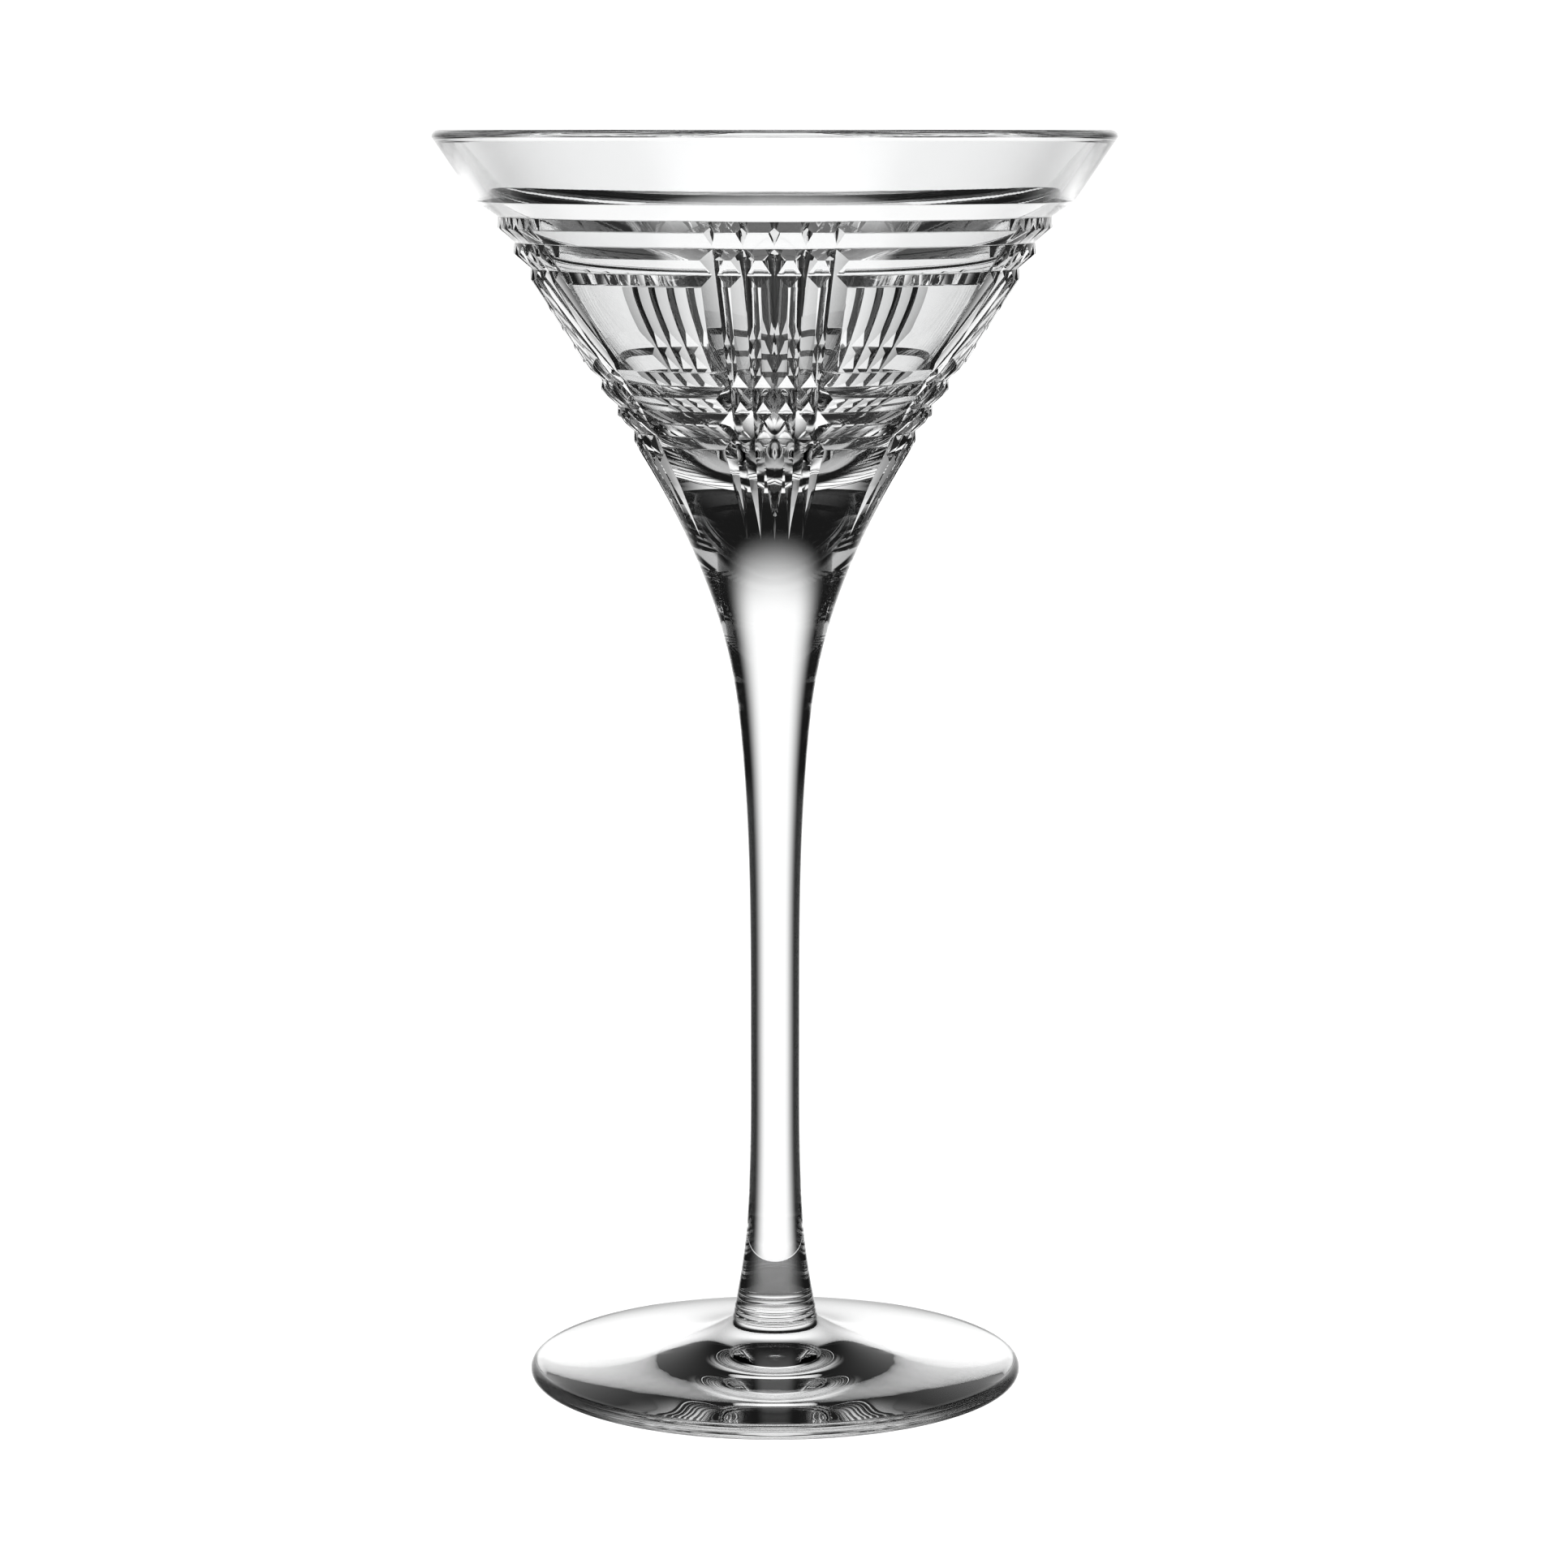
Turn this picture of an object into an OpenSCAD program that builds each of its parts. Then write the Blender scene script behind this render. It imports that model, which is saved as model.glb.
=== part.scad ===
// Stemmed martini glass in cut crystal.
// +Z is up and the glass stands on z = 0, centred on the Z axis. Millimetres.
// The stack is foot, collar, stem base, stem and bowl. Every height is worked out upwards
// from the table, and the cuts are set out downwards from the rim.

/* [Bowl] */
// Height of the bowl from its seam on the stem to the rim
bowl_h = 101.5; // [96:0.5:125]
// Outside diameter of the rim
rim_d = 119; // [112:1:143]
// Thickness of the wall at the lip, measured level
lip_t = 2.5; // [2:0.1:3]
// Height of the plain band under the rim
band_h = 12.3; // [9:0.1:15]
// Outside diameter at the foot of the plain band
band_d = 104; // [101:1:112]
// Depth of the hollow from the rim to its lowest point
hollow_depth = 58.5; // [54:0.5:64]
// How much the hollow's radius grows per mm of height in its straight upper part
hollow_slope = 0.735; // [0.7:0.005:0.76]
// Depth of the hollow's straight upper part, from the rim down to the round cup
hollow_cone_h = 24; // [16:0.5:32]
// How far out the bottom of the cup stays nearly level
cup_flat = 17.6; // [10:0.2:24]
// Height over which the side of the cup keeps the slope of the straight part
cup_hold = 9.9; // [6:0.1:16]
// Outside diameter at the first ridge, the widest part of the cut cone
cut_top_d = 96.4; // [90:0.2:99]
// Outside diameter at the last ridge, where the cut cone ends
cut_end_d = 49.4; // [42:0.2:56]

/* [Ring cuts] */
// Distance from the plain band down to the first ridge
first_ridge_drop = 4.5; // [3.8:0.1:5.4]
// Height from one ridge to the next
ring_pitch = 4.5; // [3.8:0.1:5.4]
// Height of a ring's sloping face; the rest of its pitch is an upright land
ring_slope_h = 2.5; // [1.8:0.1:3.2]
// Number of rings cut above the windows
upper_rings = 2; // [1:1:3]
// Number of rings cut below the windows
lower_rings = 3; // [1:1:4]
// Height of the plain windows between the two sets of rings
window_h = 14.7; // [10:0.1:18]

/* [Flute cuts] */
// Number of flute groups round the bowl
groups = 5; // [3:1:6]
// Number of flutes in one group
flutes = 5; // [3:2:7]
// Opening angle of the V, measured square to the flute
flute_angle = 119; // [100:1:128]
// Distance between flutes at the first ridge
flute_pitch_top = 5.3; // [4.4:0.1:6.2]
// Distance between flutes where they run out
flute_pitch_end = 2.4; // [1.9:0.05:2.9]
// Depth of the flutes at the first ridge
flute_depth_top = 0.7; // [0.5:0.05:1]
// Depth of the flutes halfway between the first ridge and the windows
flute_depth_rings = 1.45; // [1:0.05:1.8]
// Depth of the flutes at the top of the windows
flute_depth_window = 1.65; // [1:0.05:2]
// Depth of the flutes at the last ring
flute_depth_last = 1.6; // [1:0.05:2]
// Depth of the flutes halfway down their tail
flute_depth_tail = 0.85; // [0.5:0.05:1.1]
// Height of the flutes' tail below the last ridge
flute_tail_h = 16; // [12:0.5:20]

/* [Stem] */
// Length of stem that shows, from the stem base to the seam on the bowl
stem_len = 92.5; // [70:0.5:112]
// Diameter at the waist, the thinnest part
waist_d = 8.75; // [7:0.05:10]
// Height of the waist above the stem base
waist_h = 34; // [20:0.5:45]
// Diameter at the seam between stem and bowl
seam_d = 12.9; // [11:0.1:14.5]
// Diameter where the stem enters the stem base
socket_d = 10; // [9:0.1:11.5]
// Depth of the stem's round end inside the stem base
socket_depth = 8.4; // [5:0.1:11]

/* [Stem base] */
// Height of the stem base
base_h = 15; // [12.5:0.1:18]
// Diameter of the stem base where it stands on the collar
base_d = 14.2; // [12:0.1:16]

/* [Collar] */
// Height of the collar
collar_h = 2.8; // [2.2:0.1:3.6]
// Diameter of the collar where it stands on the foot
collar_d = 15.2; // [14.8:0.1:18]
// Number of rounded beads round the collar
collar_beads = 3; // [2:1:4]
// How far a bead stands out
bead_out = 0.12; // [0.06:0.02:0.2]

/* [Foot] */
// Diameter of the foot
foot_d = 88; // [74:1:106]
// Height of the foot at its centre
foot_h = 10.2; // [8.6:0.1:12]
// Thickness of the foot's rounded edge
edge_t = 2.8; // [2:0.1:3.4]
// Width of the flat ring that the foot stands on
rest_w = 2.2; // [1.5:0.1:4]
// Height of the hollow under the foot, at its centre
punt_h = 2; // [1.2:0.1:2.8]
// How steeply the top of the foot falls towards its edge
foot_fall = 0.145; // [0.1:0.005:0.16]
// How far out from the collar the foot's upward flare reaches
foot_flare_w = 4; // [2.5:0.1:6]

/* [Hidden] */
$fn = 128;

CRYSTAL = [0.93, 0.95, 0.96, 0.45];
CURVE_STEPS = 24;  // points along a long curve
ARC_STEPS = 8;     // points along a small round
SEAM_SLOPE = 0.113;    // how the radius grows per mm of height at the seam with the bowl
SOCKET_SLOPE = -0.065; // the same where the stem enters the stem base
BASE_SLOPE = -0.19;    // the same at the bottom of the stem base
CROWDING = 1.7;        // how closely the points on top of the foot crowd towards the collar
PUNT_POWER = 1.6;      // how soon the hollow under the foot levels out towards its rest

// Heights above the table, from the foot up
collar_z = foot_h;
base_z = collar_z + collar_h;
stem_z = base_z + base_h;
waist_z = stem_z + waist_h;
seam_z = stem_z + stem_len;
rim_z = seam_z + bowl_h;

// Heights of the cuts, from the rim down
band_z = rim_z - band_h;
ridge_z = band_z - first_ridge_drop;
window_z = ridge_z - upper_rings * ring_pitch;
waist_ridge_z = window_z - window_h;
last_ridge_z = waist_ridge_z - lower_rings * ring_pitch;
land_h = ring_pitch - ring_slope_h;
ring_bottom_z = last_ridge_z + land_h;

// The cone that the ridges and the windows lie on
cone_slope = (cut_top_d - cut_end_d) / 2 / (ridge_z - last_ridge_z);
function cone_r(z) = cut_end_d / 2 + cone_slope * (z - last_ridge_z);

// A smooth curve of radius over height: r0 and its slope s0 at z0, r1 and its slope s1 at z1
function curve_r(z, z0, r0, s0, z1, r1, s1) =
    let (l = z1 - z0, t = (z - z0) / l)
    (2 * pow(t, 3) - 3 * pow(t, 2) + 1) * r0 + (pow(t, 3) - 2 * pow(t, 2) + t) * l * s0
    + (3 * pow(t, 2) - 2 * pow(t, 3)) * r1 + (pow(t, 3) - pow(t, 2)) * l * s1;

// Radius of the bowl's plain tail, which leaves the cut cone along its slope and runs into the stem
function tail_r(z) = curve_r(z, seam_z, seam_d / 2, SEAM_SLOPE, last_ridge_z, cut_end_d / 2, cone_slope);

// Points [r, z] along the curve from z0 to z1, both ends included
function curve_points(z0, r0, s0, z1, r1, s1, steps = CURVE_STEPS) =
    [for (i = [0:steps]) let (z = z0 + (z1 - z0) * i / steps) [curve_r(z, z0, r0, s0, z1, r1, s1), z]];

// Points on an arc about [cx, cz], from angle a0 to a1
function arc_points(cx, cz, r, a0, a1, steps = ARC_STEPS) =
    [for (i = [0:steps]) let (a = a0 + (a1 - a0) * i / steps) [cx + r * cos(a), cz + r * sin(a)]];

// ---- Bowl ----

// One set of rings from the ridge at top_z down: a sloping face, then an upright land to the next ridge
function ring_points(top_z, count) = [
    for (i = [0:count - 1], p = [0:2])
        let (z = top_z - i * ring_pitch, land_r = cone_r(z - ring_pitch))
        p == 0 ? [cone_r(z), z] : p == 1 ? [land_r, z - ring_slope_h] : [land_r, z - ring_pitch]
];

// The hollow is a straight cone under the lip and a round cup below that, which leaves the axis level
cone_z = rim_z - hollow_cone_h;
hollow_z = rim_z - hollow_depth;
hollow_cone_r = rim_d / 2 - lip_t - hollow_slope * (hollow_cone_h - lip_t / 2);
cup_guides = [
    [0, hollow_z],
    [cup_flat, hollow_z],
    [hollow_cone_r - hollow_slope * cup_hold, cone_z - cup_hold],
    [hollow_cone_r, cone_z]
];
function cup_point(t) = pow(1 - t, 3) * cup_guides[0] + 3 * t * pow(1 - t, 2) * cup_guides[1]
    + 3 * pow(t, 2) * (1 - t) * cup_guides[2] + pow(t, 3) * cup_guides[3];

function outer_points() = concat(
    arc_points((rim_d - lip_t) / 2, rim_z - lip_t / 2, lip_t / 2, 90, 0),
    [[band_d / 2, band_z], [cone_r(ridge_z), band_z - (first_ridge_drop - land_h)]],
    ring_points(ridge_z, upper_rings),
    [[cone_r(window_z), window_z]],
    ring_points(waist_ridge_z, lower_rings),
    [for (i = [1:CURVE_STEPS - 1])
        let (z = last_ridge_z + (seam_z - last_ridge_z) * i / CURVE_STEPS) [tail_r(z), z]],
    [[seam_d / 2, seam_z], [0, seam_z]]
);

function inner_points() = concat(
    [for (i = [0:CURVE_STEPS]) cup_point(i / CURVE_STEPS)],
    arc_points((rim_d - lip_t) / 2, rim_z - lip_t / 2, lip_t / 2, 180, 90)
);

module blank() {
    rotate_extrude() polygon(drop_repeats(concat(outer_points(), inner_points())));
}

// The same points with none that repeats the one before it
function drop_repeats(points) = [
    for (i = [0:len(points) - 1])
        if (norm(points[i] - points[(i + len(points) - 1) % len(points)]) > 0.001) points[i]
];

// ---- Flutes ----

flute_k = tan(flute_angle / 2);     // half width of a V over its depth
FLUTE_REACH = 3.5;                  // how far a cutting wedge stands out past the flute's bottom
FLUTE_LAP = 0.3;                    // how far one wedge runs on into the next below it
flute_tail_z = last_ridge_z - flute_tail_h;
half_tail_z = (ring_bottom_z + flute_tail_z) / 2;
half_rings_z = (ridge_z + window_z) / 2;
entry_z = ridge_z + land_h;

// Radius of a flute's bottom, where it is deep below the cone of the ridges
function bottom_r(z, deep) = cone_r(z) - deep;
entry_slope = cone_slope + (flute_depth_rings - flute_depth_top) / (ridge_z - half_rings_z);

// Stations [height, radius] along a flute's bottom: the wheel enters on the first land,
// runs deep through the rings and windows, and leaves on the plain tail
stations = [
    [entry_z, bottom_r(half_rings_z, flute_depth_rings) + entry_slope * (entry_z - half_rings_z)],
    [half_rings_z, bottom_r(half_rings_z, flute_depth_rings)],
    [window_z, bottom_r(window_z, flute_depth_window)],
    [ring_bottom_z, bottom_r(ring_bottom_z, flute_depth_last)],
    [half_tail_z, tail_r(half_tail_z) - flute_depth_tail],
    [flute_tail_z, tail_r(flute_tail_z)]
];

// Distance between flutes at height z
function flute_pitch(z) = flute_pitch_end
    + (flute_pitch_top - flute_pitch_end) * (z - flute_tail_z) / (ridge_z - flute_tail_z);

// A point on the bottom of flute i, at a station
function flute_point(i, station) =
    let (a = (i - (flutes - 1) / 2) * flute_pitch(station[0]) / station[1] * 180 / PI)
    [station[1] * sin(a), -station[1] * cos(a), station[0]];

// A V-shaped wedge that opens away from the Z axis, with its sharp edge from p down to q
module wedge(p, q) {
    run = norm(q - p);
    along = (q - p) / run;
    level = [p[0], p[1], 0] / norm([p[0], p[1]]);
    square_out = level - (level * along) * along;
    out = square_out / norm(square_out);
    side = cross(out, along);
    multmatrix([for (k = [0:2]) [side[k], out[k], along[k], p[k]]])
        linear_extrude(run + FLUTE_LAP)
            polygon([[0, 0], [FLUTE_REACH * flute_k, FLUTE_REACH], [-FLUTE_REACH * flute_k, FLUTE_REACH]]);
}

module flute(i) {
    for (j = [0:len(stations) - 2]) wedge(flute_point(i, stations[j]), flute_point(i, stations[j + 1]));
}

module bowl() {
    color(CRYSTAL) difference() {
        blank();
        for (g = [0:groups - 1], i = [0:flutes - 1]) rotate(g * 360 / groups) flute(i);
    }
}

// ---- Stem ----

// The stem's round end, half an ellipse as wide as the socket and as deep as it
function socket_points() = [
    for (i = [0:ARC_STEPS])
        let (a = 90 * i / ARC_STEPS)
        [socket_d / 2 * sin(a), stem_z - socket_depth * cos(a)]
];

module stem() {
    lower = curve_points(stem_z, socket_d / 2, SOCKET_SLOPE, waist_z, waist_d / 2, 0);
    upper = curve_points(waist_z, waist_d / 2, 0, seam_z, seam_d / 2, SEAM_SLOPE);
    color(CRYSTAL) rotate_extrude()
        polygon(drop_repeats(concat(socket_points(), lower, upper, [[0, seam_z]])));
}

module stem_base() {
    side = curve_points(base_z, base_d / 2, BASE_SLOPE, stem_z, socket_d / 2, SOCKET_SLOPE);
    socket = socket_points();
    color(CRYSTAL) rotate_extrude()
        polygon(drop_repeats(concat([[0, base_z]], side, [for (i = [ARC_STEPS:-1:0]) socket[i]])));
}

// ---- Collar and foot ----

// The collar flares down to the foot, and its side is a stack of rounded beads
function collar_points() = [
    for (b = [0:collar_beads - 1], i = [0:ARC_STEPS])
        let (t = (b + i / ARC_STEPS) / collar_beads,
             flare = (collar_d - base_d) / 2 * pow(1 - t, 2))
        [base_d / 2 + flare + bead_out * sin(180 * i / ARC_STEPS), collar_z + collar_h * t]
];

module collar() {
    color(CRYSTAL) rotate_extrude()
        polygon(drop_repeats(concat([[0, collar_z]], collar_points(), [[0, base_z]])));
}

edge_r = edge_t / 2;
rest_r = foot_d / 2 - edge_r;  // outer radius of the ring that the foot stands on

// Top of the foot: an even fall to the edge, with a flare up to the collar that dies away outwards
foot_r0 = collar_d / 2;
foot_span = rest_r - foot_r0;
flare_h = foot_h - edge_t - foot_fall * foot_span;
flare_end = exp(-foot_span / foot_flare_w);
function foot_top_points() = [
    for (i = [0:CURVE_STEPS])
        let (out = foot_span * pow(i / CURVE_STEPS, CROWDING),
             flare = flare_h * (exp(-out / foot_flare_w) - flare_end) / (1 - flare_end))
        [foot_r0 + out, edge_t + foot_fall * (foot_span - out) + flare]
];

// The hollow under the foot is a shallow dome
function punt_points() = [
    for (i = [0:CURVE_STEPS])
        let (r = (rest_r - rest_w) * (1 - i / CURVE_STEPS), t = r / (rest_r - rest_w))
        [r, punt_h * pow(1 - t * t, PUNT_POWER)]
];

module foot() {
    color(CRYSTAL) rotate_extrude()
        polygon(drop_repeats(concat(
            [[0, collar_z]],
            foot_top_points(),
            arc_points(rest_r, edge_r, edge_r, 90, -90, 2 * ARC_STEPS),
            punt_points()
        )));
}

bowl();
stem();
stem_base();
collar();
foot();
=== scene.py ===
"""A martini glass in cut crystal: the looks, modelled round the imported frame.

Lengths are in metres. The glass stands on z = 0 and is centred on the Z axis.
"""

import logging
import math
from dataclasses import dataclass, field
from enum import Enum
from typing import Any

import bpy
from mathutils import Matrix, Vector


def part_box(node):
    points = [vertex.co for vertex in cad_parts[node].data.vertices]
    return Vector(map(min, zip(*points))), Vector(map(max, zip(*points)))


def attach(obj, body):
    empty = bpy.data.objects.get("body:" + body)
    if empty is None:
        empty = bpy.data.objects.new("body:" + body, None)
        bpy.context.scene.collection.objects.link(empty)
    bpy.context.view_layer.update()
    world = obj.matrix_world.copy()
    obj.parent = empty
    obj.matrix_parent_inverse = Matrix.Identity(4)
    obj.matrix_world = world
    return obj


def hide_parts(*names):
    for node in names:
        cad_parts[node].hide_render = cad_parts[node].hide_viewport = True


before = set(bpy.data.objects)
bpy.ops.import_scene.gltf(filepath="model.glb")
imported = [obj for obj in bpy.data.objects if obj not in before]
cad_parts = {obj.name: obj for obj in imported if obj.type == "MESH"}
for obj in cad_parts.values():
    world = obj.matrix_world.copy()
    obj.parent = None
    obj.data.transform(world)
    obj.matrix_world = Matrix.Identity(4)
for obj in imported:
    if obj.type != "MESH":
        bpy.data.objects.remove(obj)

LOG = logging.getLogger("martini_glass")
MM = 0.001
FULL_TURN = 2 * math.pi
WHITE = (1.0, 1.0, 1.0, 1.0)
TRIANGLE_HALF_WIDTH = math.cos(math.radians(30))  # of a three-sided circle with a radius of 1
TRIANGLE_HEIGHT = 1.5                             # of the same, from a corner to the side facing it
Point = tuple[float, float]


class Slot(Enum):
    """The record's material slots."""

    CUT = "cut_crystal"
    DRAWN = "drawn_crystal"


class Skin(Enum):
    """The two kinds of face on a piece, by material index."""

    OUTSIDE = 0
    SEAM = 1


# ---------------------------------------------------------------- shader maths


@dataclass(frozen=True)
class Wire:
    """A value in a node tree, wrapped so that plain arithmetic adds Math nodes."""

    tree: "Tree"
    socket: bpy.types.NodeSocket

    def _math(self, operation: str, *values: Any) -> "Wire":
        """Add one Math node that takes these values in order."""
        return self.tree.node("ShaderNodeMath", {"operation": operation}, dict(enumerate(values)))

    def __add__(self, other: Any) -> "Wire":
        """Return self + other."""
        return self._math("ADD", self, other)

    def __rsub__(self, other: Any) -> "Wire":
        """Return other - self."""
        return self._math("SUBTRACT", other, self)

    def __mul__(self, other: Any) -> "Wire":
        """Return self * other."""
        return self._math("MULTIPLY", self, other)

    def __abs__(self) -> "Wire":
        """Return the size of the value, without its sign."""
        return self._math("ABSOLUTE", self)

    def angle_to(self, other: Any) -> "Wire":
        """Return the angle whose tangent is self over other, in radians."""
        return self._math("ARCTAN2", self, other)

    def arcsine(self) -> "Wire":
        """Return the angle whose sine is the value, in radians."""
        return self._math("ARCSINE", self)

    def larger(self, other: Any) -> "Wire":
        """Return the larger of two values."""
        return self._math("MAXIMUM", self, other)

    def fade(self, edge: tuple[float, float]) -> "Wire":
        """Return 1 on one side of a soft edge and 0 on the other, with an even curve between.

        Args:
            edge: Value at which the result leaves 1, and value at which it reaches 0.

        Returns:
            The smoothed step.
        """
        low, high = sorted(edge)
        step = self.tree.node(
            "ShaderNodeMapRange",
            {"interpolation_type": "SMOOTHSTEP"},
            {"Value": self, "From Min": low, "From Max": high},
        )
        return step if edge[0] > edge[1] else 1 - step


@dataclass
class Tree:
    """A node tree that is filled by calls."""

    nodes: bpy.types.Nodes
    links: bpy.types.NodeLinks

    @classmethod
    def of(cls, owner: bpy.types.Material | bpy.types.World) -> "Tree":
        """Return an empty tree on a material or a world."""
        owner.use_nodes = True
        owner.node_tree.nodes.clear()
        return cls(owner.node_tree.nodes, owner.node_tree.links)

    def node(
        self,
        kind: str,
        settings: dict[str, Any] | None = None,
        values: dict[str | int, Any] | None = None,
        out: str | int = 0,
    ) -> Wire:
        """Add any node.

        Args:
            kind: The node's type name.
            settings: Properties of the node, set before its sockets.
            values: Input sockets by name or place, each a plain value or a Wire.
            out: The output socket to return, by name or place.

        Returns:
            The node's output, or its first input where it has no output.
        """
        made = self.nodes.new(kind)
        for name, value in (settings or {}).items():
            setattr(made, name, value)
        for name, value in (values or {}).items():
            if isinstance(value, Wire):
                self.links.new(value.socket, made.inputs[name])
            else:
                made.inputs[name].default_value = value
        return Wire(self, made.outputs[out] if made.outputs else made.inputs[0])


# ---------------------------------------------------------------- finishes


@dataclass(frozen=True)
class Crystal:
    """Clear lead crystal, with the faint waviness that polishing leaves."""

    name: str
    refraction: float = 1.545
    tint: tuple[float, float, float] = (0.992, 0.995, 0.996)
    wave_size: float = 9 * MM
    wave_height: float = 0.004 * MM

    def build(self) -> bpy.types.Material:
        """Return the material."""
        material = bpy.data.materials.new(self.name)
        tree = Tree.of(material)
        place = tree.node("ShaderNodeTexCoord", out="Object")
        waves = tree.node(
            "ShaderNodeTexNoise", {}, {"Vector": place, "Scale": 1 / self.wave_size, "Detail": 2.0}
        )
        normal = tree.node(
            "ShaderNodeBump", {}, {"Height": waves, "Distance": self.wave_height, "Strength": 1.0}
        )
        glass = tree.node(
            "ShaderNodeBsdfPrincipled",
            {},
            {
                "Base Color": (*self.tint, 1.0),
                "Roughness": 0.0,
                "IOR": self.refraction,
                "Transmission Weight": 1.0,
                "Normal": normal,
            },
        )
        tree.node("ShaderNodeOutputMaterial", {}, {"Surface": glass})
        return material


@dataclass(frozen=True)
class FusedSeam:
    """The face where two gathers of glass melted together, which light crosses as if it weren't there."""

    name: str

    def build(self) -> bpy.types.Material:
        """Return the material."""
        material = bpy.data.materials.new(self.name)
        tree = Tree.of(material)
        clear = tree.node("ShaderNodeBsdfPrincipled", {}, {"Alpha": 0.0})
        tree.node("ShaderNodeOutputMaterial", {}, {"Surface": clear})
        return material


# ---------------------------------------------------------------- outlines


def curve_r(z: float, z0: float, r0: float, s0: float, z1: float, r1: float, s1: float) -> float:
    """Return a radius on a smooth curve over height.

    Args:
        z: Height asked for.
        z0: Height of the curve's first end.
        r0: Radius there.
        s0: Growth of the radius with height there.
        z1: Height of the curve's other end.
        r1: Radius there.
        s1: Growth of the radius with height there.

    Returns:
        The radius at z.
    """
    span = z1 - z0
    t = (z - z0) / span
    return (
        (2 * t**3 - 3 * t**2 + 1) * r0
        + (t**3 - 2 * t**2 + t) * span * s0
        + (3 * t**2 - 2 * t**3) * r1
        + (t**3 - t**2) * span * s1
    )


def curve(z0: float, r0: float, s0: float, z1: float, r1: float, s1: float, steps: int) -> list[Point]:
    """Return the points of such a curve, both ends included."""
    heights = [z0 + (z1 - z0) * i / steps for i in range(steps + 1)]
    return [(curve_r(z, z0, r0, s0, z1, r1, s1), z) for z in heights]


def arc(cx: float, cz: float, radius: float, start: float, end: float, steps: int) -> list[Point]:
    """Return the points of an arc about (cx, cz), between two angles in degrees."""
    angles = [math.radians(start + (end - start) * i / steps) for i in range(steps + 1)]
    return [(cx + radius * math.cos(a), cz + radius * math.sin(a)) for a in angles]


def bezier(start: Vector, guide: Vector, end_guide: Vector, end: Vector, steps: int) -> list[Point]:
    """Return the points of a cubic curve, given by its two ends and its two guide points."""
    points = []
    for i in range(steps + 1):
        t = i / steps
        p = start * (1 - t) ** 3 + guide * 3 * t * (1 - t) ** 2 + end_guide * 3 * t**2 * (1 - t) + end * t**3
        points.append((p.x, p.y))
    return points


def polished(points: list[Point], radius: float, steps: int = 3) -> list[Point]:
    """Round every corner between the first point and the last, as polishing does.

    Args:
        points: The sharp outline.
        radius: How far from a corner the rounding starts, at most a third of the side it is on.
        steps: Number of short sides that a corner becomes.

    Returns:
        The rounded outline.
    """
    result = [points[0]]
    for before, corner, after in zip(points, points[1:], points[2:]):
        c = Vector(corner)
        ends = []
        for other in (Vector(before), Vector(after)):
            side = other - c
            ends.append(c + side.normalized() * min(radius, side.length / 3))
        for i in range(steps + 1):
            t = i / steps
            p = ends[0] * (1 - t) ** 2 + c * 2 * t * (1 - t) + ends[1] * t**2
            result.append((p.x, p.y))
    result.append(points[-1])
    return result


# ---------------------------------------------------------------- bench


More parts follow.
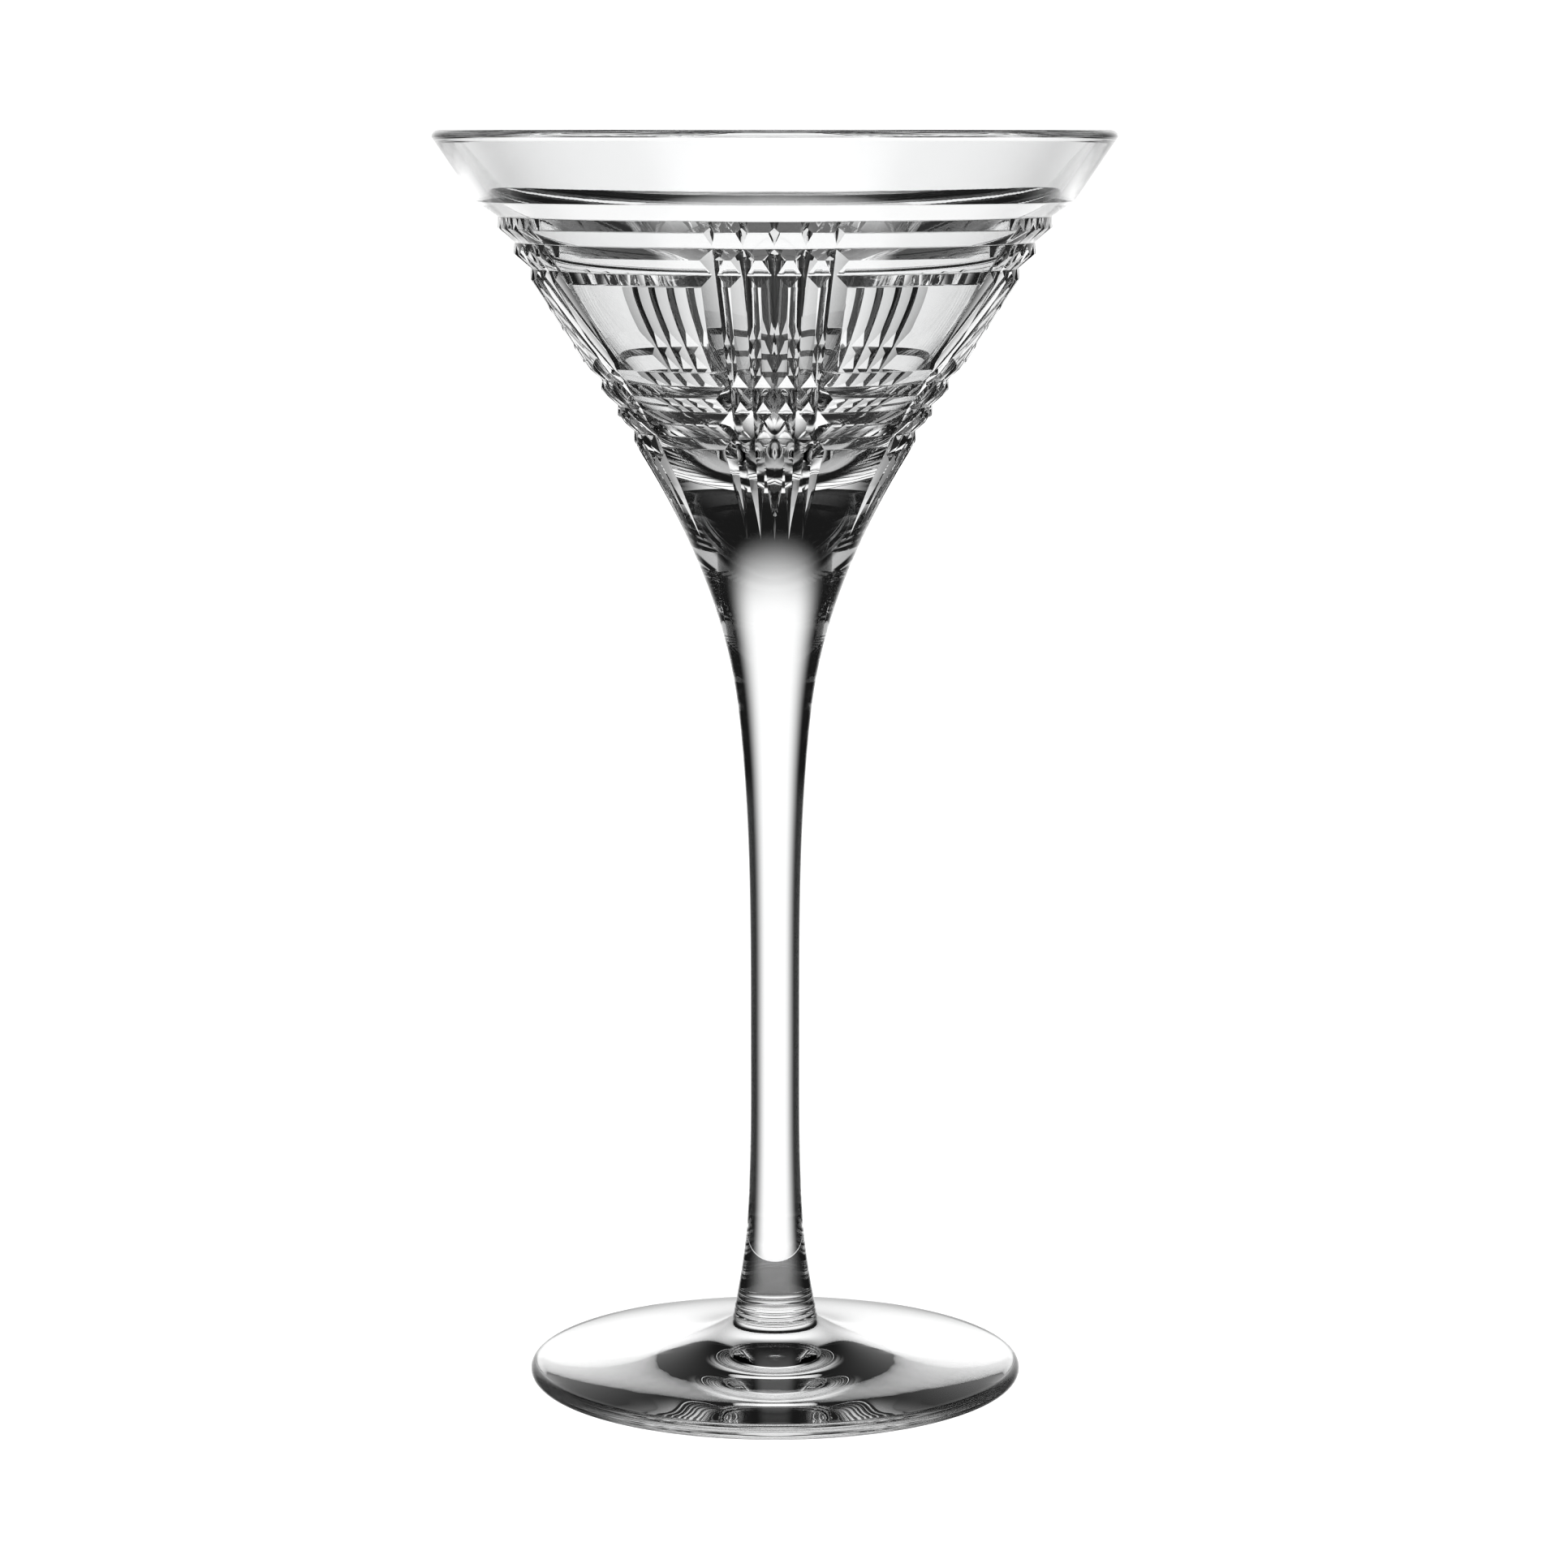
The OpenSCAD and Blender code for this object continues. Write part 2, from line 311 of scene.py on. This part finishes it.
@dataclass(frozen=True)
class Bench:
    """The modelling steps that the pieces share."""

    turn_steps: int = 320
    weld: float = 0.002 * MM
    edge_angle: float = math.radians(20)

    def clear(self) -> None:
        """Leave edit mode and deselect everything."""
        if bpy.context.object and bpy.context.object.mode != "OBJECT":
            bpy.ops.object.mode_set(mode="OBJECT")
        bpy.ops.object.select_all(action="DESELECT")

    def pick(self, piece: bpy.types.Object) -> None:
        """Select one object alone and make it the active one."""
        self.clear()
        piece.select_set(True)
        bpy.context.view_layer.objects.active = piece

    def turn(self, name: str, outline: list[Point]) -> bpy.types.Object:
        """Turn an outline round the Z axis into a closed solid.

        Args:
            name: The new piece's name.
            outline: Points (radius, height) that start and end on the axis.

        Returns:
            The new piece.
        """
        self.clear()
        start = outline[0]
        bpy.ops.mesh.primitive_plane_add(size=MM, location=(start[0], 0, start[1]))
        piece = bpy.context.object
        piece.name = piece.data.name = name
        bpy.ops.object.transform_apply(location=True, rotation=True, scale=True)
        bpy.ops.object.mode_set(mode="EDIT")
        bpy.ops.mesh.select_all(action="SELECT")
        bpy.ops.mesh.merge(type="CENTER")
        bpy.ops.mesh.select_mode(type="VERT")
        for (r0, z0), (r1, z1) in zip(outline, outline[1:]):
            bpy.ops.mesh.extrude_region_move(TRANSFORM_OT_translate={"value": (r1 - r0, 0, z1 - z0)})
        bpy.ops.mesh.select_all(action="SELECT")
        bpy.ops.mesh.spin(steps=self.turn_steps, angle=FULL_TURN, center=(0, 0, 0), axis=(0, 0, 1))
        bpy.ops.mesh.select_all(action="SELECT")
        bpy.ops.mesh.remove_doubles(threshold=self.weld)
        bpy.ops.mesh.normals_make_consistent(inside=False)
        bpy.ops.object.mode_set(mode="OBJECT")
        return piece

    def carve(self, piece: bpy.types.Object, tool: bpy.types.Object, operation: str) -> None:
        """Join a tool to a piece or cut it away, and delete the tool.

        Args:
            piece: The closed piece to change.
            tool: The closed solid that is joined to it or cut from it.
            operation: UNION or DIFFERENCE.
        """
        bpy.context.view_layer.objects.active = piece
        step = piece.modifiers.new("wheel", "BOOLEAN")
        step.operation = operation
        step.solver = "MANIFOLD"
        step.object = tool
        bpy.ops.object.modifier_apply(modifier=step.name)
        bpy.data.objects.remove(tool)

    def dress(self, piece: bpy.types.Object, outside: bpy.types.Material, seam: bpy.types.Material) -> None:
        """Give a piece its two materials and smooth its shading."""
        self.pick(piece)
        piece.data.materials.clear()
        piece.data.materials.append(outside)
        piece.data.materials.append(seam)
        bpy.ops.object.shade_smooth_by_angle(angle=self.edge_angle)

    def mark_flat(self, piece: bpy.types.Object, height: float, within: float) -> None:
        """Give the seam's material to the level faces at one height.

        Args:
            piece: The piece.
            height: Height of the seam.
            within: Radius inside which the faces lie.
        """
        for face in piece.data.polygons:
            level = abs(face.center.z - height) < self.weld and abs(face.normal.z) > 0.99
            if level and face.center.to_2d().length < within:
                face.material_index = Skin.SEAM.value

    def hand_over(self, piece: bpy.types.Object, node: str) -> None:
        """Put a finished piece in the frame in place of its CAD node."""
        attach(piece, "root")
        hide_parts(node)
        triangles = sum(len(face.vertices) - 2 for face in piece.data.polygons)
        LOG.info("%s: %d triangles, in place of %s", piece.name, triangles, node)


def radius_of(node: str) -> float:
    """Return the radius of a round CAD node's box, the smaller of its two."""
    low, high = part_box(node)
    return min(high[0], high[1], -low[0], -low[1])


def base_of(node: str) -> float:
    """Return the height of a CAD node's lowest point."""
    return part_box(node)[0][2]


def top_of(node: str) -> float:
    """Return the height of a CAD node's highest point."""
    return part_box(node)[1][2]


# ---------------------------------------------------------------- the glass

SEAM_SLOPE = 0.113      # growth of the radius with height at the seam of stem and bowl
SOCKET_SLOPE = -0.065   # the same where the stem enters its base
BASE_SLOPE = -0.19      # the same at the bottom of the stem base


@dataclass
class Bowl:
    """The cone-shaped bowl with its ring cuts and flutes, and the drawn neck under it."""

    seam_z: float = field(default_factory=lambda: base_of("bowl"))
    rim_z: float = field(default_factory=lambda: top_of("bowl"))
    rim_r: float = field(default_factory=lambda: radius_of("bowl"))
    seam_r: float = field(default_factory=lambda: radius_of("stem"))
    lip: float = 2.5 * MM
    band_h: float = 12.3 * MM
    band_r: float = 52 * MM
    hollow_slope: float = 0.735
    cone_h: float = 24 * MM
    hollow_depth: float = 58.5 * MM
    cup_flat: float = 17.6 * MM
    cup_hold: float = 9.9 * MM
    cut_top_r: float = 48.2 * MM
    cut_end_r: float = 24.7 * MM
    first_drop: float = 4.5 * MM
    ring_pitch: float = 4.5 * MM
    ring_slope: float = 2.5 * MM
    upper_rings: int = 2
    lower_rings: int = 3
    window_h: float = 14.7 * MM
    groups: int = 5
    flutes: int = 5
    flute_angle: float = math.radians(119)
    pitch_top: float = 5.3 * MM
    pitch_end: float = 2.4 * MM
    depth_top: float = 0.7 * MM
    depth_rings: float = 1.45 * MM
    depth_window: float = 1.65 * MM
    depth_last: float = 1.6 * MM
    depth_tail: float = 0.85 * MM
    tail_h: float = 16 * MM
    polish: float = 0.16 * MM
    reach: float = 3.5 * MM
    lip_steps: int = 16
    curve_steps: int = 48

    def __post_init__(self) -> None:
        """Work out the heights of the cuts, from the rim down."""
        self.land = self.ring_pitch - self.ring_slope
        self.band_z = self.rim_z - self.band_h
        self.ridge_z = self.band_z - self.first_drop
        self.window_z = self.ridge_z - self.upper_rings * self.ring_pitch
        self.waist_z = self.window_z - self.window_h
        self.last_z = self.waist_z - self.lower_rings * self.ring_pitch
        self.slope = (self.cut_top_r - self.cut_end_r) / (self.ridge_z - self.last_z)

    def cone_r(self, z: float) -> float:
        """Return the radius of the cone that the ridges and windows lie on."""
        return self.cut_end_r + self.slope * (z - self.last_z)

    def tail_r(self, z: float) -> float:
        """Return the radius of the plain tail under the cuts."""
        return curve_r(z, self.seam_z, self.seam_r, SEAM_SLOPE, self.last_z, self.cut_end_r, self.slope)

    def rings(self, top_z: float, count: int) -> list[Point]:
        """Return one set of rings: sloping faces, each with an upright land under it."""
        points: list[Point] = []
        for i in range(count):
            z = top_z - i * self.ring_pitch
            land_r = self.cone_r(z - self.ring_pitch)
            points += [(self.cone_r(z), z), (land_r, z - self.ring_slope), (land_r, z - self.ring_pitch)]
        return points[:-1]

    def hollow(self) -> list[Point]:
        """Return the inside: a round cup on the axis, then a straight cone up to the lip."""
        low_z = self.rim_z - self.hollow_depth
        cone_z = self.rim_z - self.cone_h
        cone_r = self.rim_r - self.lip - self.hollow_slope * (self.cone_h - self.lip / 2)
        hold = Vector((self.hollow_slope, 1)) * self.cup_hold
        ends = (Vector((0, low_z)), Vector((cone_r, cone_z)))
        guides = (Vector((self.cup_flat, low_z)), ends[1] - hold)
        return bezier(ends[0], guides[0], guides[1], ends[1], self.curve_steps)

    def outline(self) -> list[Point]:
        """Return the whole outline, from the hollow's lowest point round to the seam's centre."""
        half_lip = self.lip / 2
        lip = arc(self.rim_r - half_lip, self.rim_z - half_lip, half_lip, 180, 0, self.lip_steps)
        cuts = [
            lip[-1],
            (self.band_r, self.band_z),
            (self.cone_r(self.ridge_z), self.ridge_z + self.land),
            *self.rings(self.ridge_z, self.upper_rings),
            (self.cone_r(self.window_z), self.window_z),
            *self.rings(self.waist_z, self.lower_rings),
            (self.cut_end_r, self.last_z),
            (self.tail_r(self.last_z - MM), self.last_z - MM),
        ]
        tail = curve(
            self.last_z, self.cut_end_r, self.slope, self.seam_z, self.seam_r, SEAM_SLOPE, self.curve_steps
        )[2:]
        return self.hollow() + lip[:-1] + polished(cuts, self.polish) + tail + [(0, self.seam_z)]

    def stations(self) -> list[Point]:
        """Return the bottom of a flute as (radius, height), from its entry down to its end."""
        rings_z = (self.ridge_z + self.window_z) / 2
        ring_bottom_z = self.last_z + self.land
        tail_z = self.last_z - self.tail_h
        half_tail_z = (ring_bottom_z + tail_z) / 2
        entry_z = self.ridge_z + self.land
        rings_r = self.cone_r(rings_z) - self.depth_rings
        entry_slope = self.slope + (self.depth_rings - self.depth_top) / (self.ridge_z - rings_z)
        return [
            (rings_r + entry_slope * (entry_z - rings_z), entry_z),
            (rings_r, rings_z),
            (self.cone_r(self.window_z) - self.depth_window, self.window_z),
            (self.cone_r(ring_bottom_z) - self.depth_last, ring_bottom_z),
            (self.tail_r(half_tail_z) - self.depth_tail, half_tail_z),
            (self.tail_r(tail_z), tail_z),
        ]

    def flute_point(self, index: int, station: Point) -> Vector:
        """Return a point on the bottom of one flute of the front group."""
        r, z = station
        tail_z = self.last_z - self.tail_h
        share = (z - tail_z) / (self.ridge_z - tail_z)
        pitch = self.pitch_end + (self.pitch_top - self.pitch_end) * share
        angle = (index - (self.flutes - 1) / 2) * pitch / r
        return Vector((r * math.sin(angle), -r * math.cos(angle), z))

    def wheel(self, bench: Bench, index: int) -> bpy.types.Object:
        """Make the solid that one flute of the front group takes out of the bowl.

        Args:
            bench: The modelling steps.
            index: Number of the flute in its group.

        Returns:
            A closed bar of triangular section that follows the flute's bottom.
        """
        bench.clear()
        path = [self.flute_point(index, station) for station in self.stations()]
        facing = math.atan2(path[2].x, -path[2].y)
        half_width = self.reach * math.tan(self.flute_angle / 2) * math.cos(math.atan(self.slope))
        widen = half_width / TRIANGLE_HALF_WIDTH
        deepen = self.reach / TRIANGLE_HEIGHT
        bpy.ops.mesh.primitive_circle_add(vertices=3, radius=1, fill_type="NGON", location=(0, 0, 0))
        bar = bpy.context.object
        bpy.ops.object.mode_set(mode="EDIT")
        bpy.ops.mesh.select_all(action="SELECT")
        # the corner at (0, 1) goes to the origin, so that the side facing it lies outwards
        bpy.ops.transform.translate(value=(0, -1, 0))
        bpy.ops.transform.resize(value=(widen, deepen, 1), center_override=(0, 0, 0))
        bpy.ops.transform.rotate(value=-facing, orient_axis="Z", center_override=(0, 0, 0))
        bpy.ops.transform.translate(value=path[0])
        for here, there in zip(path, path[1:]):
            bpy.ops.mesh.extrude_region_move(TRANSFORM_OT_translate={"value": there - here})
        bpy.ops.mesh.select_all(action="SELECT")
        bpy.ops.mesh.normals_make_consistent(inside=False)
        bpy.ops.object.mode_set(mode="OBJECT")
        return bar

    def cutters(self, bench: Bench) -> bpy.types.Object:
        """Return all the groups of flutes as one object, a group at each turn."""
        group = self.wheel(bench, 0)
        for index in range(1, self.flutes):
            bench.carve(group, self.wheel(bench, index), "UNION")
        parts = [group]
        for turn in range(1, self.groups):
            bench.pick(group)
            bpy.ops.object.duplicate()
            part = bpy.context.object
            part.rotation_euler.z = FULL_TURN * turn / self.groups
            bpy.ops.object.transform_apply(location=False, rotation=True, scale=False)
            parts.append(part)
        bench.clear()
        for part in parts:
            part.select_set(True)
        bpy.context.view_layer.objects.active = group
        bpy.ops.object.join()
        return group

    def build(self, bench: Bench, finish: bpy.types.Material, seam: bpy.types.Material) -> None:
        """Turn the blank, cut the flutes and put the bowl in the frame."""
        piece = bench.turn("bowl_cut", self.outline())
        bench.carve(piece, self.cutters(bench), "DIFFERENCE")
        bench.dress(piece, finish, seam)
        bench.mark_flat(piece, self.seam_z, self.seam_r)
        bench.hand_over(piece, "bowl")


@dataclass
class Stem:
    """The waisted stem, with its round end sunk in the stem base."""

    base_z: float = field(default_factory=lambda: top_of("stem_base"))
    seam_z: float = field(default_factory=lambda: top_of("stem"))
    tip_z: float = field(default_factory=lambda: base_of("stem"))
    seam_r: float = field(default_factory=lambda: radius_of("stem"))
    socket_r: float = 5 * MM
    waist_r: float = 4.375 * MM
    waist_h: float = 34 * MM
    socket_steps: int = 16
    lower_steps: int = 32
    upper_steps: int = 48

    def socket(self) -> list[Point]:
        """Return the round end, from the axis out to the stem's side."""
        quarter = [math.pi / 2 * i / self.socket_steps for i in range(self.socket_steps + 1)]
        depth = self.base_z - self.tip_z
        return [(self.socket_r * math.sin(a), self.base_z - depth * math.cos(a)) for a in quarter]

    def outline(self) -> list[Point]:
        """Return the stem's outline, from its round end up to the seam's centre."""
        waist_z = self.base_z + self.waist_h
        lower = curve(self.base_z, self.socket_r, SOCKET_SLOPE, waist_z, self.waist_r, 0, self.lower_steps)
        upper = curve(waist_z, self.waist_r, 0, self.seam_z, self.seam_r, SEAM_SLOPE, self.upper_steps)
        return self.socket() + lower[1:] + upper[1:] + [(0, self.seam_z)]

    def build(self, bench: Bench, finish: bpy.types.Material, seam: bpy.types.Material) -> None:
        """Turn the stem and put it in the frame."""
        piece = bench.turn("stem_drawn", self.outline())
        bench.dress(piece, finish, seam)
        bench.mark_flat(piece, self.seam_z, self.seam_r)
        for face in piece.data.polygons:
            if face.center.z < self.base_z:
                face.material_index = Skin.SEAM.value
        bench.hand_over(piece, "stem")


@dataclass
class StemBase:
    """The gather of glass that holds the stem's round end."""

    stem: Stem
    base_z: float = field(default_factory=lambda: base_of("stem_base"))
    base_r: float = field(default_factory=lambda: radius_of("stem_base"))
    side_steps: int = 32

    def build(self, bench: Bench, finish: bpy.types.Material, seam: bpy.types.Material) -> None:
        """Turn the stem base and put it in the frame."""
        top_z, top_r = self.stem.base_z, self.stem.socket_r
        side = curve(self.base_z, self.base_r, BASE_SLOPE, top_z, top_r, SOCKET_SLOPE, self.side_steps)
        piece = bench.turn("stem_base_turned", [(0, self.base_z), *side, *self.stem.socket()[-2::-1]])
        bench.dress(piece, finish, seam)
        bench.mark_flat(piece, self.base_z, self.base_r)
        for face in piece.data.polygons:
            inward = face.center.to_2d().dot(face.normal.to_2d()) < 0
            if inward or face.center.to_2d().length < top_r / 2:
                face.material_index = Skin.SEAM.value
        bench.hand_over(piece, "stem_base")


@dataclass
class Collar:
    """The beaded collar between the stem base and the foot."""

    low_z: float = field(default_factory=lambda: base_of("collar"))
    high_z: float = field(default_factory=lambda: top_of("collar"))
    low_r: float = field(default_factory=lambda: radius_of("collar"))
    high_r: float = field(default_factory=lambda: radius_of("stem_base"))
    beads: int = 3
    bead_out: float = 0.12 * MM
    bead_steps: int = 10

    def side(self) -> list[Point]:
        """Return the collar's side, a stack of rounded beads that flares to the foot."""
        points: list[Point] = []
        for step in range(self.beads * self.bead_steps + 1):
            t = step / (self.beads * self.bead_steps)
            bead = abs(math.sin(math.pi * self.beads * t)) * self.bead_out
            flare = (self.low_r - self.high_r) * (1 - t) ** 2
            points.append((self.high_r + flare + bead, self.low_z + (self.high_z - self.low_z) * t))
        return points

    def build(self, bench: Bench, finish: bpy.types.Material, seam: bpy.types.Material) -> None:
        """Turn the collar and put it in the frame."""
        outline = [(0, self.low_z), *self.side(), (0, self.high_z)]
        piece = bench.turn("collar_beaded", outline)
        bench.dress(piece, finish, seam)
        bench.mark_flat(piece, self.low_z, self.low_r)
        bench.mark_flat(piece, self.high_z, self.high_r)
        bench.hand_over(piece, "collar")


@dataclass
class Foot:
    """The round foot: domed on top, hollowed below, on a narrow ground ring."""

    collar_r: float
    top_z: float = field(default_factory=lambda: top_of("foot"))
    foot_r: float = field(default_factory=lambda: radius_of("foot"))
    edge: float = 2.8 * MM
    rest_w: float = 2.2 * MM
    punt: float = 2 * MM
    fall: float = 0.145
    flare_w: float = 4 * MM
    crowding: float = 1.7
    punt_power: float = 1.6
    dome_steps: int = 80
    punt_steps: int = 40
    edge_steps: int = 20

    def dome(self, rest_r: float) -> list[Point]:
        """Return the top, from the collar out to the rounded edge."""
        span = rest_r - self.collar_r
        flare_h = self.top_z - self.edge - self.fall * span
        end = math.exp(-span / self.flare_w)
        points: list[Point] = []
        for i in range(self.dome_steps + 1):
            out = span * (i / self.dome_steps) ** self.crowding
            flare = flare_h * (math.exp(-out / self.flare_w) - end) / (1 - end)
            points.append((self.collar_r + out, self.edge + self.fall * (span - out) + flare))
        return points

    def hollow(self, rest_r: float) -> list[Point]:
        """Return the hollow underneath, from the ground ring in to the axis."""
        inner = rest_r - self.rest_w
        shares = [1 - i / self.punt_steps for i in range(self.punt_steps + 1)]
        return [(inner * t, self.punt * (1 - t * t) ** self.punt_power) for t in shares]

    def build(self, bench: Bench, finish: bpy.types.Material, seam: bpy.types.Material) -> None:
        """Turn the foot and put it in the frame."""
        half = self.edge / 2
        rest_r = self.foot_r - half
        rim = arc(rest_r, half, half, 90, -90, self.edge_steps)
        outline = [(0, self.top_z), *self.dome(rest_r), *rim[1:], *self.hollow(rest_r)]
        piece = bench.turn("foot_domed", outline)
        bench.dress(piece, finish, seam)
        bench.mark_flat(piece, self.top_z, self.collar_r)
        bench.hand_over(piece, "foot")


# ---------------------------------------------------------------- studio


@dataclass(frozen=True)
class Studio:
    """A pale table, a bright field behind the glass, and lower, softer ones on its other sides.

    Each pair of angles says where a soft edge starts and where it ends, going outwards from the bright side.

    Attributes:
        eye: Place of the camera.
        pitch: How far the camera looks up.
        lens: Focal length in millimetres.
        field_side: Side edge of the field behind the glass, as angles from straight behind it.
        field_top: Top edge of every field, as angles above the level.
        field_foot: Bottom edge of every field.
        fill: Brightness of the field on the other sides, beside 1 for the one behind.
        fill_side: Side edge of the field on the other sides.
        fill_top: Top edge of the field on the other sides.
        table_light: Edge of the light that comes up from the table.
        glow: Brightness of the brightest field.
        gloom: Brightness between the fields.
        look: Contrast of the picture.
        table_r: Radius of the table.
        table_drop: How far the table lies under the foot, so that they don't touch.
    """

    eye: tuple[float, float, float] = (1.6 * MM, -0.7856, 0.222)
    pitch: float = math.radians(-8.31)
    lens: float = 102.86
    field_side: tuple[float, float] = (math.radians(13), math.radians(43))
    field_top: tuple[float, float] = (math.radians(15), math.radians(34))
    field_foot: tuple[float, float] = (math.radians(-22), math.radians(-37))
    fill: float = 0.5
    fill_side: tuple[float, float] = (math.radians(95), math.radians(70))
    fill_top: tuple[float, float] = (math.radians(3), math.radians(10))
    table_light: tuple[float, float] = (math.radians(-68), math.radians(-60))
    glow: float = 0.94
    gloom: float = 0.015
    look: str = "Medium High Contrast"
    table_r: float = 60.0
    table_drop: float = 0.05 * MM

    def camera(self) -> None:
        """Place the camera at the rim's height, looking a little down."""
        lens = bpy.data.cameras.new("camera")
        lens.lens = self.lens
        camera = bpy.data.objects.new("camera", lens)
        camera.location = self.eye
        camera.rotation_euler = (math.pi / 2 + self.pitch, 0, 0)
        bpy.context.collection.objects.link(camera)
        bpy.context.scene.camera = camera

    def surroundings(self) -> None:
        """Light the glass by the field behind it, those on its other sides and the table under it."""
        world = bpy.data.worlds.new("soft_field")
        bpy.context.scene.world = world
        tree = Tree.of(world)
        place = tree.node("ShaderNodeTexCoord", out="Generated")
        x, y, z = (
            tree.node("ShaderNodeSeparateXYZ", {}, {"Vector": place}, out=axis) for axis in ("X", "Y", "Z")
        )
        above = z.arcsine()
        aside = abs(x).angle_to(y)
        fill = aside.fade(self.fill_side) * self.fill * above.fade(self.fill_top)
        bright = aside.fade(self.field_side).larger(fill) * above.fade(self.field_top)
        bright = bright * above.fade(self.field_foot)
        level = bright.larger(above.fade(self.table_light)) * (self.glow - self.gloom) + self.gloom
        seen = tree.node("ShaderNodeLightPath", out="Is Camera Ray")
        light = tree.node("ShaderNodeBackground", {}, {"Color": WHITE, "Strength": level.larger(seen)})
        tree.node("ShaderNodeOutputWorld", {}, {"Surface": light})

    def table(self) -> None:
        """Lay the pale table."""
        bpy.ops.object.select_all(action="DESELECT")
        bpy.ops.mesh.primitive_circle_add(
            vertices=96, radius=self.table_r, fill_type="NGON", location=(0, 0, -self.table_drop)
        )
        table = bpy.context.object
        table.name = "table"
        material = bpy.data.materials.new("pale_table")
        tree = Tree.of(material)
        seen = tree.node("ShaderNodeLightPath", out="Is Camera Ray")
        glow = tree.node("ShaderNodeEmission", {}, {"Color": WHITE, "Strength": 1.0})
        clear = tree.node("ShaderNodeBsdfTransparent", {}, {"Color": WHITE})
        pale = tree.node("ShaderNodeMixShader", {}, {0: seen, 1: clear, 2: glow})
        tree.node("ShaderNodeOutputMaterial", {}, {"Surface": pale})
        table.data.materials.append(material)

    def tune(self) -> None:
        """Let light pass through many walls of glass, and keep white as white."""
        scene = bpy.context.scene
        scene.view_settings.view_transform = "Standard"
        scene.view_settings.look = self.look
        scene.cycles.max_bounces = 32
        scene.cycles.transmission_bounces = 32
        scene.cycles.glossy_bounces = 16
        scene.cycles.transparent_max_bounces = 32

    def build(self) -> None:
        """Set up the whole studio."""
        self.camera()
        self.surroundings()
        self.table()
        self.tune()


def main() -> None:
    """Build the studio and the glass, piece by piece."""
    logging.basicConfig(level=logging.INFO, format="%(name)s: %(message)s")
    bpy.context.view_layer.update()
    Studio().build()
    bench = Bench()
    cut = Crystal("cut_crystal").build()
    drawn = Crystal("drawn_crystal").build()
    seam = FusedSeam("fused_seam").build()
    collar = Collar()
    stem = Stem()
    Bowl().build(bench, cut, seam)
    stem.build(bench, drawn, seam)
    StemBase(stem).build(bench, drawn, seam)
    collar.build(bench, drawn, seam)
    Foot(collar.low_r).build(bench, drawn, seam)
    bench.clear()


if __name__ == "__main__":
    main()
